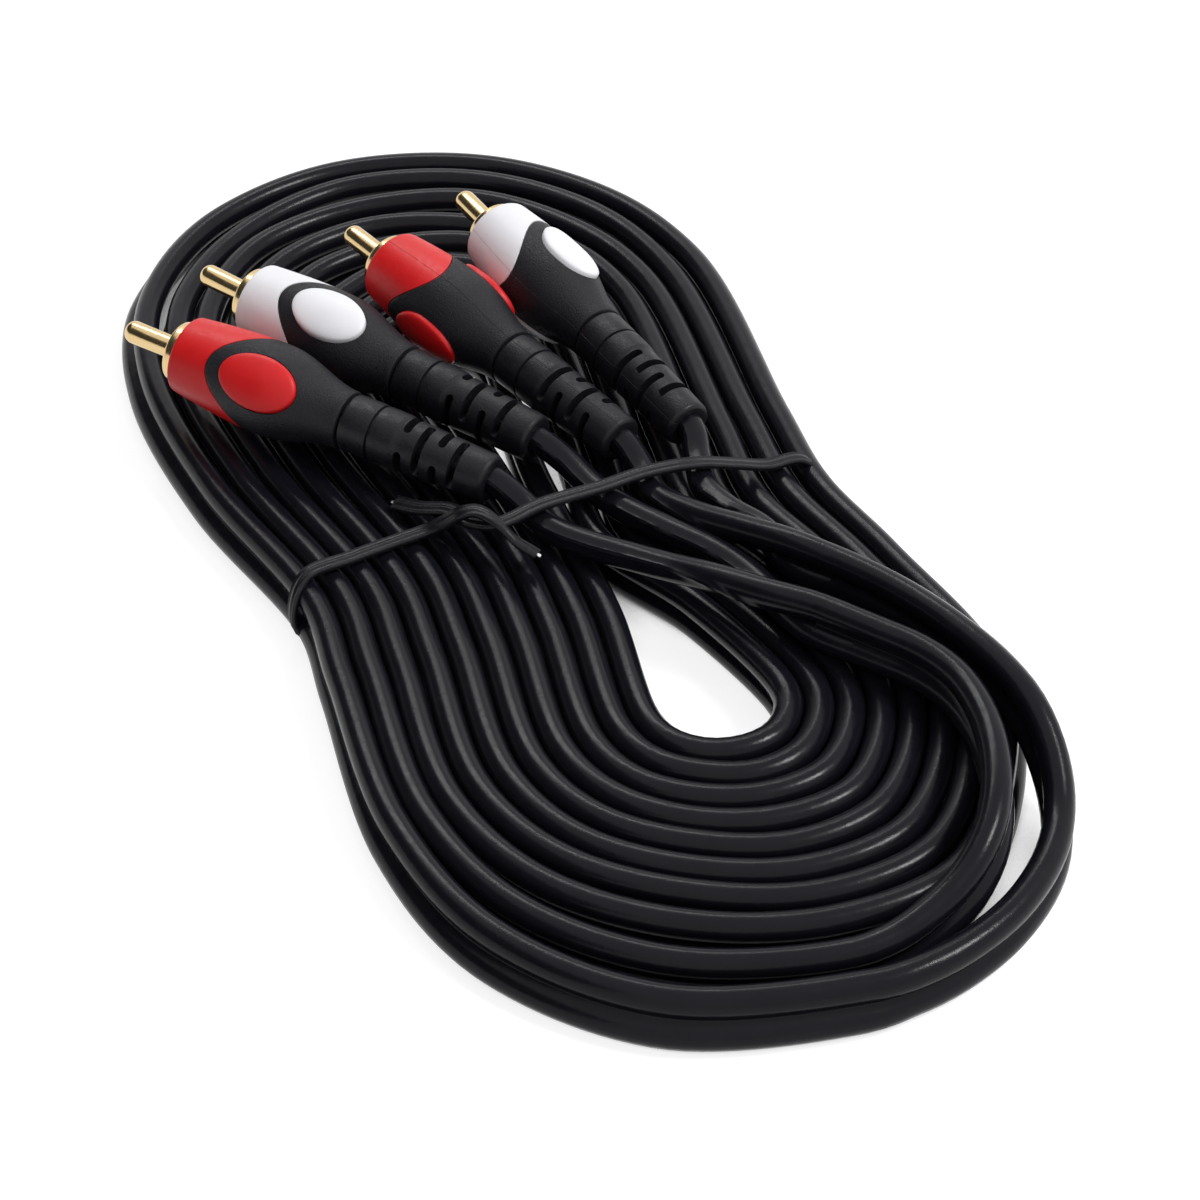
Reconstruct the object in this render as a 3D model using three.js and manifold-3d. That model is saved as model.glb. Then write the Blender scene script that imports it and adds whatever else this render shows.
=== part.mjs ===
// An audio video cable: a long twin lead wound into a flat bundle with two lobes and tied at its waist.
// At each end of the lead its two cores part, and each core runs into a moulded phono plug.
// Millimetres, +Z up. The bundle lies on Z = 0, and the origin is at the middle of its outline.
import * as THREE from "three";
import { mergeVertices } from "three/addons/utils/BufferGeometryUtils.js";
import Module from "manifold-3d";

const wasm = await Module();
wasm.setup();

const radians = THREE.MathUtils.degToRad;

// Room left between neighbouring pieces
const clearance = 0.3;

// Twin lead: two round cores side by side, joined by a thin web, wound standing on edge
const coreRadius = 1.9;
const webThickness = 1.5;
const leadHeight = 4 * coreRadius;

// Bundle outline, seen from above: one round lobe at the top and a pair of arcs for the lower one
const upperLobe = { x: 0, y: 50.4, radius: 44.5 };
const lowerLeftLobe = { x: 3.6, y: -50.4, radius: 44.6 };
const lowerRightLobe = { x: 3.2, y: -46.5, radius: 39.4 };
const lobeTurn = 12; // degrees that each lobe's arc runs past its widest line, towards the waist
const waistPull = 0.35; // how far the waist keeps each lobe's direction, as a share of its length
const exitAngle = 276; // degrees, where the two last strands leave the bundle
const exitGap = 0.7; // degrees between the bundle's cut face and the lead ends
const upperHole = { x: 0.8, y: 39.4, radius: 5.3, apexX: -1.3, apexY: -3 };
const lowerHole = { x: 5.5, y: -43.9, radius: 7.3, apexX: 2.6, apexY: -12 };

// Lead ends: x, y, the lead's middle above the bundle's top, and its lean outwards in degrees.
// The points near a lobe's rim give an angle and a distance outside the rim in place of x and y.
const leadEndA = [
  nearRim(lowerLeftLobe, exitAngle + exitGap, -6.8, -3.5, 10),
  nearRim(lowerRightLobe, 280, 2.7, -3.1, 12),
  nearRim(lowerRightLobe, 290, 1.8, -0.7, 22),
  nearRim(lowerRightLobe, 300.6, 0.2, 1.9, 35),
  [28.2, -73.6, 3.2, 45],
  [30.9, -65.4, 3.3, 55],
  [31.3, -57.5, 3.1, 62],
  [29.4, -49.8, 3.0, 65],
  [26.0, -41.9, 3.0, 65],
  [21.5, -33.9, 3.0, 65],
];
const leadEndB = [
  nearRim(lowerLeftLobe, exitAngle + exitGap, -2, -3.6, 12),
  nearRim(lowerRightLobe, 283.4, 7.2, -3.6, 15),
  nearRim(lowerRightLobe, 295.4, 6.8, -3.6, 18),
  nearRim(lowerRightLobe, 308.3, 5.8, -3.5, 22),
  nearRim(lowerRightLobe, 320.2, 4.6, -2.9, 28),
  nearRim(lowerRightLobe, 330.9, 2.7, -0.9, 38),
  [40.2, -59.5, 1.8, 52],
  [38.6, -51.5, 2.9, 64],
  [35.6, -43, 3.1, 60],
  [31.4, -34.6, 3.1, 60],
  [25.8, -26, 3.1, 60],
];

// Single cores between the lead's ends and the plugs: x, y and height above the bundle's top
const tailRoutes = [
  [
    [19.8, -34.4, 3.9],
    [15.8, -29.3, 3.3],
    [11.4, -24.7, 2.6],
    [6.5, -20.1, 2.2],
    [1.8, -15, 2.2],
    [-2.4, -9, 2.2],
    [-4.2, -3.4, 2.7],
  ],
  [
    [22.9, -31.9, 2.2],
    [18.6, -26.1, 2.2],
    [14.3, -19.8, 2.2],
    [10.2, -13.3, 2.2],
    [7.4, -7.6, 2.2],
    [5.7, -2.2, 2.3],
    [4.2, 3.2, 3.1],
  ],
  [
    [24, -26, 4],
    [19.3, -20.8, 3.7],
    [15.8, -14.4, 3],
    [12.9, -7.6, 2.4],
    [13, -1.8, 2.9],
  ],
  [
    [27, -24.1, 2.2],
    [23.3, -19.2, 2.2],
    [20.5, -13.6, 2.2],
    [19.6, -7.8, 2.2],
    [21, -2.2, 2.8],
  ],
];

// Tie: a flat plastic ribbon with a steel wire inside, from one free end round the waist to the other
const tieWidth = 2.2;
const tieThickness = 0.9;
const tieWireRadius = 0.2;
const tieFreeEndHigh = [
  [-20.3, 6.4, 1.3],
  [-16.9, 2.2, 1.8],
  [-13.9, -1.6, 2.8],
  [-11.2, -4.8, 3.5],
];
const tieOverTails = [
  [-8.6, -6.7, 4],
  [-5.6, -7.4, 4.9],
  [-1.5, -7.5, 5.2],
  [5.3, -6.4, 5.2],
  [12, -5.8, 5.4],
  [19, -6.2, 5.2],
  [25, -5.6, 3],
  [30, -5, 1],
  [35.2, -4.8, 0.5],
];
const tieRightSide = [
  [37.8, -5.6, -2.7],
  [37.8, -6.4, -5.5],
];
const tieUnder = [
  [35.4, -7.4],
  [31.4, -7.7],
  [0, -8],
  [-30.6, -7.7],
  [-34.6, -7.4],
];
const tieLeftSide = [
  [-37, -6.6, -5.5],
  [-37, -5.8, -2.7],
];
const tieFreeEndLow = [
  [-34.6, -4.1, 0.5],
  [-28, -3, 0.8],
  [-21, -2.5, 0.8],
  [-16.2, -2.6, 0.9],
  [-13, -3.8, 1],
  [-10.6, -6, 1.2],
  [-8.9, -8.9, 1.2],
  [-5.6, -11.6, 1],
];

// Phono plug, from the pin's tip to the rear of the strain relief
const pinRadius = 1.6;
const pinShow = 8; // pin standing out of the ground shell
const pinTipRadius = 0.7;
const pinTipLength = 1;
const pinSolderRadius = 1.2;
const pinSolderLength = 5;
const shellRadius = 4.3;
const shellWall = 0.6;
const shellShow = 1.5; // shell standing out of the coloured sleeve
const shellSeat = 9.1; // shell held inside the sleeve
const shellSlotWidth = 1.2;
const shellSlotLength = 5.4;
const insulatorLength = 3.4;
const sleeveFrontRadius = 5.4;
const sleeveWidestRadius = 6.5;
const sleeveFrontLength = 12.5; // from the sleeve's front edge to its widest line
const gripTaperLength = 14.2; // from the widest line to the rear of the grip
const gripNeckRadius = 4.1;
const gripThickness = 1.3; // black overmould over the coloured core, at its front edge
const gripWave = 3.5; // how far the grip's front edge swings to and fro
const gripFrontSetback = 4.2; // mean front edge of the grip, ahead of the widest line
const padLength = 11.4;
const padWidth = 7.5;
const padRise = 0.5;
const coreTailLength = 1.2; // grip behind the end of the coloured core
const signalWireRadius = 1;
const collarRadius = 3.95;
const collarLength = 8.25;
const collarGroovePlace = 4.5;
const collarGrooveDepth = 0.35;
const reliefFrontRadius = 3.8;
const reliefRearRadius = 3.35;
const reliefSlots = 4;
const reliefSlotPitch = 2.65;
const reliefSlotWidth = 1.15;
const reliefSlotSweep = 136; // degrees, two slots at each station
const reliefTailRoom = 4.65; // plain boot behind the last slot

// Where the four plugs lie: how many plug widths to the right of the fan's middle, y of the rear end,
// heading from +Y towards -X, how far the pads turn to the left from the top, and extra height
const fanMiddle = 7.2;
const plugPlaces = [
  { across: -0.986, y: 1.35, heading: 39.5, roll: 47, lift: 0.1, colour: "red" },
  { across: -0.382, y: 7.65, heading: 33.4, roll: 20, lift: 0.1, colour: "white" },
  { across: 0.347, y: 3.15, heading: 20.5, roll: 104, lift: 0.6, colour: "red" },
  { across: 1.028, y: 2.95, heading: 12, roll: -31, lift: 1, colour: "white" },
];
const plugRearHeight = 4.3; // the strain relief's rear end above the bundle's top

// Facets
const bodySides = 18;
const metalSides = 12;
const coreSides = 8;
const bundleSegments = 6;
const ribbonStep = 5;
const leadStep = 4.5;

// Sizes that follow
const coreDiameter = 2 * coreRadius;
const shellRear = pinShow + shellShow + shellSeat;
const sleeveFront = pinShow + shellShow;
const widest = sleeveFront + sleeveFrontLength;
const gripFront = widest - gripFrontSetback;
const gripRear = widest + gripTaperLength;
const reliefFront = gripRear + clearance;
const firstSlot = reliefFront + collarLength + reliefSlotWidth;
const plugLength = firstSlot + (reliefSlots - 1) * reliefSlotPitch + reliefTailRoom;
const shellInside = shellRadius - shellWall;
const pinRear = shellRear + pinSolderLength;
const wireBore = pinSolderRadius + clearance;
const wireRoom = signalWireRadius + clearance;
const coreRear = gripRear - coreTailLength;
const tailEnd = reliefFront + collarLength;
const plugWidth = 2 * (sleeveWidestRadius + padRise) + clearance;

const materials = {
  jacket: new THREE.MeshStandardMaterial({ color: 0x17181c, roughness: 0.42 }),
  tie: new THREE.MeshStandardMaterial({ color: 0x141416, roughness: 0.35 }),
  steel: new THREE.MeshStandardMaterial({ color: 0xc8c8c8, roughness: 0.3, metalness: 1 }),
  gold: new THREE.MeshStandardMaterial({ color: 0xe6cf93, roughness: 0.22, metalness: 1 }),
  insulator: new THREE.MeshStandardMaterial({ color: 0xf2efe4, roughness: 0.5 }),
  grip: new THREE.MeshStandardMaterial({ color: 0x1f2024, roughness: 0.7 }),
  boot: new THREE.MeshStandardMaterial({ color: 0x1d1e22, roughness: 0.55 }),
  wire: new THREE.MeshStandardMaterial({ color: 0xe8e4da, roughness: 0.5 }),
  red: new THREE.MeshStandardMaterial({ color: 0xd2191e, roughness: 0.4 }),
  white: new THREE.MeshStandardMaterial({ color: 0xebebf0, roughness: 0.4 }),
};

// Geometry to solid and back

function solidOf(geometry) {
  const bare = geometry.clone();
  bare.deleteAttribute("normal");
  bare.deleteAttribute("uv");
  const merged = mergeVertices(bare, 1e-4);
  const mesh = new wasm.Mesh({
    numProp: 3,
    vertProperties: merged.attributes.position.array,
    triVerts: new Uint32Array(merged.index.array),
  });
  return new wasm.Manifold(mesh);
}

function geometryOf(solid) {
  const { vertProperties, triVerts } = solid.getMesh();
  const geometry = new THREE.BufferGeometry();
  geometry.setAttribute("position", new THREE.BufferAttribute(vertProperties, 3));
  geometry.setIndex(new THREE.BufferAttribute(triVerts, 1));
  geometry.computeVertexNormals();
  return geometry;
}

function named(name, geometry, material) {
  const mesh = new THREE.Mesh(geometry, material);
  mesh.name = name;
  return mesh;
}

// Swept pieces

// A curve whose section keeps a direction of its own: sectionAxis gives the section's x axis.
class GuidedCurve extends THREE.CatmullRomCurve3 {
  constructor(points, sectionAxis) {
    super(points, false, "centripetal");
    this.sectionAxis = sectionAxis;
  }

  computeFrenetFrames(steps) {
    const frames = { tangents: [], normals: [], binormals: [] };
    for (let i = 0; i <= steps; i++) {
      const place = i / steps;
      const tangent = this.getTangentAt(place);
      const normal = this.sectionAxis(place, tangent, this);
      frames.tangents.push(tangent);
      frames.normals.push(normal);
      frames.binormals.push(new THREE.Vector3().crossVectors(tangent, normal));
    }
    return frames;
  }
}

function sweep(section, path, stepLength) {
  const steps = Math.ceil(path.getLength() / stepLength);
  return new THREE.ExtrudeGeometry(section, { steps, extrudePath: path, bevelEnabled: false });
}

function roundSection(radius, sides) {
  const points = [];
  for (let i = 0; i < sides; i++) {
    const angle = (2 * Math.PI * i) / sides;
    points.push(new THREE.Vector2(radius * Math.cos(angle), radius * Math.sin(angle)));
  }
  return new THREE.Shape(points);
}

// Bundle

// A point of a lead end: angle round a lobe, distance outside its rim, then height and lean.
function nearRim(lobe, angle, outside, height, lean) {
  const { x, y } = onLobe({ ...lobe, radius: lobe.radius + outside }, angle);
  return [x, y, height, lean];
}

function onLobe(lobe, angle) {
  const turn = radians(angle);
  return new THREE.Vector2(lobe.x + lobe.radius * Math.cos(turn), lobe.y + lobe.radius * Math.sin(turn));
}

function forwardOn(angle) {
  return new THREE.Vector2(-Math.sin(radians(angle)), Math.cos(radians(angle)));
}

// Joins the end of one lobe's arc to the start of the next, keeping both directions.
function addWaist(shape, fromLobe, fromAngle, toLobe, toAngle) {
  const start = onLobe(fromLobe, fromAngle);
  const end = onLobe(toLobe, toAngle);
  const pull = waistPull * start.distanceTo(end);
  const first = start.clone().addScaledVector(forwardOn(fromAngle), pull);
  const second = end.clone().addScaledVector(forwardOn(toAngle), -pull);
  shape.bezierCurveTo(first.x, first.y, second.x, second.y, end.x, end.y);
}

function addArc(shape, lobe, fromAngle, toAngle) {
  shape.absarc(lobe.x, lobe.y, lobe.radius, radians(fromAngle), radians(toAngle), false);
}

function teardrop(hole) {
  const toApex = Math.atan2(hole.apexY - hole.y, hole.apexX - hole.x);
  const reach = Math.hypot(hole.apexX - hole.x, hole.apexY - hole.y);
  const half = Math.acos(hole.radius / reach);
  const path = new THREE.Path();
  path.moveTo(hole.apexX, hole.apexY);
  path.absarc(hole.x, hole.y, hole.radius, toApex + half, toApex - half + 2 * Math.PI, false);
  path.lineTo(hole.apexX, hole.apexY);
  return path;
}

function bundleSolid() {
  const shape = new THREE.Shape();
  addArc(shape, lowerRightLobe, exitAngle - 360, lobeTurn);
  addWaist(shape, lowerRightLobe, lobeTurn, upperLobe, -lobeTurn);
  addArc(shape, upperLobe, -lobeTurn, 180 + lobeTurn);
  addWaist(shape, upperLobe, 180 + lobeTurn, lowerLeftLobe, 180 - lobeTurn);
  addArc(shape, lowerLeftLobe, 180 - lobeTurn, exitAngle);
  shape.closePath();
  shape.holes.push(teardrop(upperHole), teardrop(lowerHole));
  const geometry = new THREE.ExtrudeGeometry(shape, {
    depth: leadHeight - 2 * coreRadius,
    bevelThickness: coreRadius,
    bevelSize: coreRadius,
    bevelOffset: -coreRadius,
    bevelSegments: 2,
    curveSegments: bundleSegments,
  });
  geometry.translate(0, 0, coreRadius);
  return solidOf(geometry);
}

// Lead ends

// Two round cores and the web between them, with the cores one above the other along y.
function twinSection(radius) {
  const section = new THREE.Shape();
  const waist = Math.asin(webThickness / 2 / radius);
  const points = [];
  for (const side of [1, -1]) {
    const from = side > 0 ? waist - Math.PI / 2 : waist + Math.PI / 2;
    const sweepAngle = 2 * (Math.PI - waist);
    for (let i = 0; i <= coreSides - 2; i++) {
      const angle = from + (sweepAngle * i) / (coreSides - 2);
      points.push(new THREE.Vector2(radius * Math.cos(angle), side * coreRadius + radius * Math.sin(angle)));
    }
  }
  return section.setFromPoints(points);
}

function leadCurve(route) {
  const points = route.map(([x, y, height]) => new THREE.Vector3(x, y, leadHeight + height));
  return new GuidedCurve(points, (place, tangent, curve) => {
    const along = curve.getUtoTmapping(place) * (route.length - 1);
    const before = Math.min(Math.floor(along), route.length - 2);
    const lean = radians(THREE.MathUtils.lerp(route[before][3], route[before + 1][3], along - before));
    const outward = new THREE.Vector3(tangent.y, -tangent.x, 0).normalize();
    const upward = new THREE.Vector3().crossVectors(outward, tangent);
    const longAxis = upward.multiplyScalar(Math.cos(lean)).addScaledVector(outward, -Math.sin(lean));
    return longAxis.cross(tangent);
  });
}

function leadGeometry(route, radius) {
  return sweep(twinSection(radius), leadCurve(route), leadStep);
}

// Tie

function tieCurve() {
  const above = ([x, y, height]) => new THREE.Vector3(x, y, leadHeight + height);
  const under = ([x, y]) => new THREE.Vector3(x, y, tieThickness / 2 + clearance);
  const points = [
    ...tieFreeEndHigh.map(above),
    ...tieOverTails.map(above),
    ...tieRightSide.map(above),
    ...tieUnder.map(under),
    ...tieLeftSide.map(above),
    ...tieFreeEndLow.map(above),
  ];
  return new GuidedCurve(points, (place, tangent) => {
    const width = new THREE.Vector3(0, 1, 0);
    return width.addScaledVector(tangent, -width.dot(tangent)).normalize();
  });
}

function tieSection(room) {
  const halfWidth = tieWidth / 2 + room;
  const halfThickness = tieThickness / 2 + room;
  const halfFlat = halfWidth - tieThickness / 4;
  const section = new THREE.Shape();
  section.moveTo(-halfWidth, 0);
  section.lineTo(-halfFlat, -halfThickness);
  section.lineTo(halfFlat, -halfThickness);
  section.lineTo(halfWidth, 0);
  section.lineTo(halfFlat, halfThickness);
  section.lineTo(-halfFlat, halfThickness);
  return section;
}

function tieMeshes() {
  const path = tieCurve();
  const strip = tieSection(0);
  strip.holes.push(roundSection(tieWireRadius + clearance / 3, 4));
  const wire = roundSection(tieWireRadius, 4);
  return [
    named("tie_strip", sweep(strip, path, ribbonStep), materials.tie),
    named("tie_wire", sweep(wire, path, ribbonStep), materials.steel),
  ];
}

// Plug pieces: each profile lists radius and place behind the pin's tip, from the rear to the front

function revolve(profile, sides) {
  const points = profile.map(([radius, place]) => new THREE.Vector2(radius, plugLength - place));
  const geometry = new THREE.LatheGeometry(points, sides);
  return geometry.rotateX(Math.PI / 2);
}

function cylinder(radius, front, rear, sides) {
  return revolve([[0, rear], [radius, rear], [radius, front], [0, front]], sides);
}

function tube(outer, inner, front, rear, sides) {
  return revolve([[inner, rear], [outer, rear], [outer, front], [inner, front], [inner, rear]], sides);
}

function centrePin() {
  const profile = [
    [0, pinRear],
    [pinSolderRadius, pinRear],
    [pinSolderRadius, shellRear],
    [pinRadius, shellRear],
    [pinRadius, pinTipLength],
    [(pinRadius + pinTipRadius) / 2, pinTipLength / 3],
    [pinTipRadius, 0],
    [0, 0],
  ];
  return revolve(profile, metalSides);
}

function insulator() {
  const rear = shellRear - shellWall - clearance;
  return tube(shellInside - clearance, pinRadius + clearance, rear - insulatorLength, rear, metalSides);
}

// The shell is a cup round the pin with a slot down each side, so that it grips the socket's barrel.
function groundShell() {
  const lip = pinRadius + clearance;
  const profile = [
    [lip, shellRear],
    [shellRadius, shellRear],
    [shellRadius, pinShow + shellWall / 2],
    [shellRadius - shellWall / 2, pinShow],
    [shellInside, pinShow],
    [shellInside, shellRear - shellWall],
    [lip, shellRear - shellWall],
    [lip, shellRear],
  ];
  const slot = new THREE.BoxGeometry(2.4 * shellRadius, shellSlotWidth, 2 * shellSlotLength);
  slot.translate(0, 0, plugLength - pinShow);
  return geometryOf(solidOf(revolve(profile, metalSides)).subtract(solidOf(slot)));
}

// Outline of the moulded body: it swells to its widest line, then draws in to the neck.
function bodyRadius(place) {
  if (place < widest) {
    const rise = Math.sin(((place - sleeveFront) / sleeveFrontLength) * (Math.PI / 2));
    return THREE.MathUtils.lerp(sleeveFrontRadius, sleeveWidestRadius, rise);
  }
  const fall = 0.5 - 0.5 * Math.cos(((place - widest) / gripTaperLength) * Math.PI);
  return THREE.MathUtils.lerp(sleeveWidestRadius, gripNeckRadius, fall);
}

function bodySolid(extra) {
  const rearRings = 4;
  const frontRings = 2;
  const profile = [[0, gripRear]];
  for (let i = rearRings; i > 0; i--) {
    const place = widest + (gripTaperLength * i) / rearRings;
    profile.push([bodyRadius(place) + extra, place]);
  }
  for (let i = frontRings; i > 0; i--) {
    const place = sleeveFront + (sleeveFrontLength * i) / frontRings;
    profile.push([bodyRadius(place) + extra, place]);
  }
  profile.push([sleeveFrontRadius + extra, sleeveFront + clearance]);
  profile.push([sleeveFrontRadius - clearance + extra, sleeveFront]);
  profile.push([0, sleeveFront]);
  return solidOf(revolve(profile, bodySides));
}

// The room that the black grip takes: all that lies round the coloured core, behind a wavy front edge.
function gripRoom(gap) {
  const outside = 2 * sleeveWidestRadius;
  const coreFront = bodyRadius(gripFront) - gripThickness + gap;
  const coreBack = gripNeckRadius - gripThickness + gap;
  const front = gripFront + gap;
  const profile = [
    [wireRoom, coreRear + gap],
    [wireRoom, gripRear + 1],
    [outside, gripRear + 1],
    [outside, front],
    [coreFront, front],
    [coreBack, coreRear + gap],
    [wireRoom, coreRear + gap],
  ];
  const geometry = revolve(profile, bodySides).rotateZ(Math.PI / bodySides);
  const position = geometry.attributes.position;
  for (let i = 0; i < position.count; i++) {
    if (Math.abs(position.getZ(i) - (plugLength - front)) > 1e-3) continue;
    const fromPad = Math.atan2(position.getX(i), position.getY(i));
    position.setZ(i, position.getZ(i) + gripWave * Math.cos(2 * fromPad));
  }
  return solidOf(geometry);
}

// A pair of oval posts through the body, one on each side, where the pads come to the surface.
function padPosts(gap) {
  const oval = new THREE.Shape();
  oval.absellipse(0, 0, padWidth / 2 + gap, padLength / 2 + gap, 0, 2 * Math.PI, false, 0);
  const height = 4 * sleeveWidestRadius;
  const geometry = new THREE.ExtrudeGeometry(oval, { depth: height, bevelEnabled: false, curveSegments: 6 });
  geometry.translate(0, 0, -height / 2);
  geometry.rotateX(-Math.PI / 2);
  geometry.translate(0, 0, plugLength - widest);
  return solidOf(geometry);
}

// Sleeve, core and pads are one moulding in the plug's colour, bored for the shell and the wire.
function colourBody() {
  const shellBore = cylinder(shellRadius + clearance, sleeveFront - 1, shellRear + clearance, metalSides);
  const wireHole = cylinder(wireBore, shellRear, gripRear + 1, metalSides);
  const pads = bodySolid(padRise).intersect(padPosts(0));
  const solid = bodySolid(0)
    .subtract(gripRoom(0))
    .add(pads)
    .subtract(solidOf(shellBore))
    .subtract(solidOf(wireHole));
  return geometryOf(solid);
}

function grip() {
  return geometryOf(bodySolid(0).intersect(gripRoom(clearance)).subtract(padPosts(clearance)));
}

// One of the pair of slots that bare the core inside the strain relief.
function reliefSlot(station, middle) {
  const half = radians(reliefSlotSweep / 2);
  const inner = coreRadius + clearance / 2;
  const outer = reliefFrontRadius + 1;
  const sector = new THREE.Shape();
  sector.absarc(0, 0, outer, middle - half, middle + half, false);
  sector.absarc(0, 0, inner, middle + half, middle - half, true);
  const settings = { depth: reliefSlotWidth, bevelEnabled: false, curveSegments: 2 };
  const geometry = new THREE.ExtrudeGeometry(sector, settings);
  geometry.translate(0, 0, plugLength - station - reliefSlotWidth / 2);
  return solidOf(geometry);
}

function strainRelief() {
  const groove = reliefFront + collarGroovePlace;
  const bore = coreRadius + clearance;
  const profile = [
    [bore, plugLength],
    [reliefRearRadius - clearance, plugLength],
    [reliefRearRadius, plugLength - clearance],
    [reliefFrontRadius, firstSlot - reliefSlotWidth],
    [collarRadius, groove + collarGrooveDepth],
    [collarRadius - collarGrooveDepth, groove],
    [collarRadius, groove - collarGrooveDepth],
    [collarRadius, reliefFront],
    [wireRoom, reliefFront],
    [wireRoom, tailEnd - clearance],
    [bore, tailEnd - clearance],
    [bore, plugLength],
  ];
  let solid = solidOf(revolve(profile, metalSides));
  for (let i = 0; i < reliefSlots; i++) {
    const middle = (i % 2) * (Math.PI / 2);
    const station = firstSlot + i * reliefSlotPitch;
    solid = solid.subtract(reliefSlot(station, middle)).subtract(reliefSlot(station, middle + Math.PI));
  }
  return geometryOf(solid);
}

function signalWire() {
  return cylinder(signalWireRadius, pinRear + clearance, tailEnd - clearance, coreSides);
}

// The plug's frame: its z axis runs forward from the strain relief's rear end to the pin's tip.
function plugGroup(place, number) {
  const name = "plug_" + number + "_";
  const roll = new THREE.Group();
  roll.rotation.z = -radians(place.roll);
  roll.add(
    named(name + "centre_pin", centrePin(), materials.gold),
    named(name + "insulator", insulator(), materials.insulator),
    named(name + "ground_shell", groundShell(), materials.gold),
    named(name + "colour_body", colourBody(), materials[place.colour]),
    named(name + "grip", grip(), materials.grip),
    named(name + "strain_relief", strainRelief(), materials.boot),
    named(name + "signal_wire", signalWire(), materials.wire),
  );
  const group = new THREE.Group();
  group.add(roll);
  group.position.set(fanMiddle + place.across * plugWidth, place.y, leadHeight + plugRearHeight);
  const seat = sleeveWidestRadius + padRise + clearance + place.lift;
  const pitch = Math.asin((seat - plugRearHeight) / (plugLength - widest));
  group.rotation.set(pitch - Math.PI / 2, 0, radians(place.heading), "ZXY");
  group.updateMatrixWorld(true);
  return group;
}

// A tail runs into its plug along the plug's axis, down the strain relief's bore.
function tailGeometry(route, plug) {
  const inPlug = (along) => new THREE.Vector3(0, 0, along).applyMatrix4(plug.matrixWorld);
  const points = route.map(([x, y, height]) => new THREE.Vector3(x, y, leadHeight + height));
  points.push(inPlug(-clearance), inPlug((plugLength - tailEnd) / 2), inPlug(plugLength - tailEnd));
  const path = new THREE.CatmullRomCurve3(points, false, "centripetal");
  return sweep(roundSection(coreRadius, coreSides), path, coreDiameter);
}

const cable = new THREE.Group();
cable.name = "audio_video_cable";

const bundle = bundleSolid()
  .subtract(solidOf(leadGeometry(leadEndA, coreRadius + clearance)))
  .subtract(solidOf(leadGeometry(leadEndB, coreRadius + clearance)))
  .subtract(solidOf(sweep(tieSection(clearance), tieCurve(), ribbonStep)));
cable.add(named("coil", geometryOf(bundle), materials.jacket));
cable.add(named("lead_end_a", leadGeometry(leadEndA, coreRadius), materials.jacket));
cable.add(named("lead_end_b", leadGeometry(leadEndB, coreRadius), materials.jacket));
cable.add(...tieMeshes());

plugPlaces.forEach((place, index) => {
  const plug = plugGroup(place, index + 1);
  cable.add(plug);
  const tail = tailGeometry(tailRoutes[index], plug);
  cable.add(named("tail_" + (index + 1), tail, materials.jacket));
});

export default cable;
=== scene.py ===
"""An audio video cable: a long twin lead wound into a flat tied bundle, with a phono plug on each core.

Sizes and routes are millimetres, as in the CAD model, and pieces are metres. The bundle lies on z = 0.
A plug's own frame has its z axis along the plug, from the strain relief's rear end to the pin's tip,
and its two pads face along y.
"""

import math
import random

import bpy
import numpy as np
from mathutils import Matrix, Vector


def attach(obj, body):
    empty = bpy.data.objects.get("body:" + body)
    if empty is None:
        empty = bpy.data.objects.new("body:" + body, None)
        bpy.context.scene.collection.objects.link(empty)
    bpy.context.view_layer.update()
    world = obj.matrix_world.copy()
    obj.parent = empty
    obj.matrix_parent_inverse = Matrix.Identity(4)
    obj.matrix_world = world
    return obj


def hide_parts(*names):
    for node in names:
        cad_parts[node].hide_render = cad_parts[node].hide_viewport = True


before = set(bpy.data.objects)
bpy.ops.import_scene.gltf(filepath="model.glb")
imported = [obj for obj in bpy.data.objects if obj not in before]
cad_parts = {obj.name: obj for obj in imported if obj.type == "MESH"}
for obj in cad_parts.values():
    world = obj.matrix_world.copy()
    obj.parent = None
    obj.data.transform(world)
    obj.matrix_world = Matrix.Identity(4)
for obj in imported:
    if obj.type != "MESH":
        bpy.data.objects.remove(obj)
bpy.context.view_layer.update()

MM = 0.001

# Twin lead and bundle
CORE_RADIUS = 1.9
WEB_THICKNESS = 1.5
LEAD_HEIGHT = 4 * CORE_RADIUS
LEAD_STEP = 1.8  # between the rings of the twin lead
LEFT_LANES = 10
RIGHT_LANES = 8
UPPER_CENTRE = (0, 50.45)
# Radius to the middle of the outermost strand at each angle of the upper lobe
UPPER_RIM = ((0, 43.2), (30, 43.2), (60, 44.4), (90, 44.6), (120, 43.2), (150, 41.7), (180, 41.5))
UPPER_HOLE = (0.8, 39.4)
UPPER_HOLE_RADIUS = 11.2  # to the middle of the innermost strand
BULB_RADIUS = 4.8  # of the innermost loop, to the middle of its strand
LOWER_CENTRE = (2.0, -49.85)
LOWER_HOLE = (5.5, -43.9)
LOWER_HOLE_RADIUS = 9.2
# The same for the lower lobe, and how far its strands bunch towards the inside at each angle
LOWER_LEFT = ((180, 40.3, 0), (210, 41.2, 0.5), (240, 42.7, 0.9), (270, 43.3, 0.45))
LOWER_RIGHT = ((300, 35.8, 0), (330, 35.7, 0), (360, 38.7, 0))
# Each left lane's share of the way from the innermost to the outermost, where they bunch
BUNCHED = (0, 0.095, 0.192, 0.29, 0.387, 0.482, 0.578, 0.695, 0.85, 1)
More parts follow.
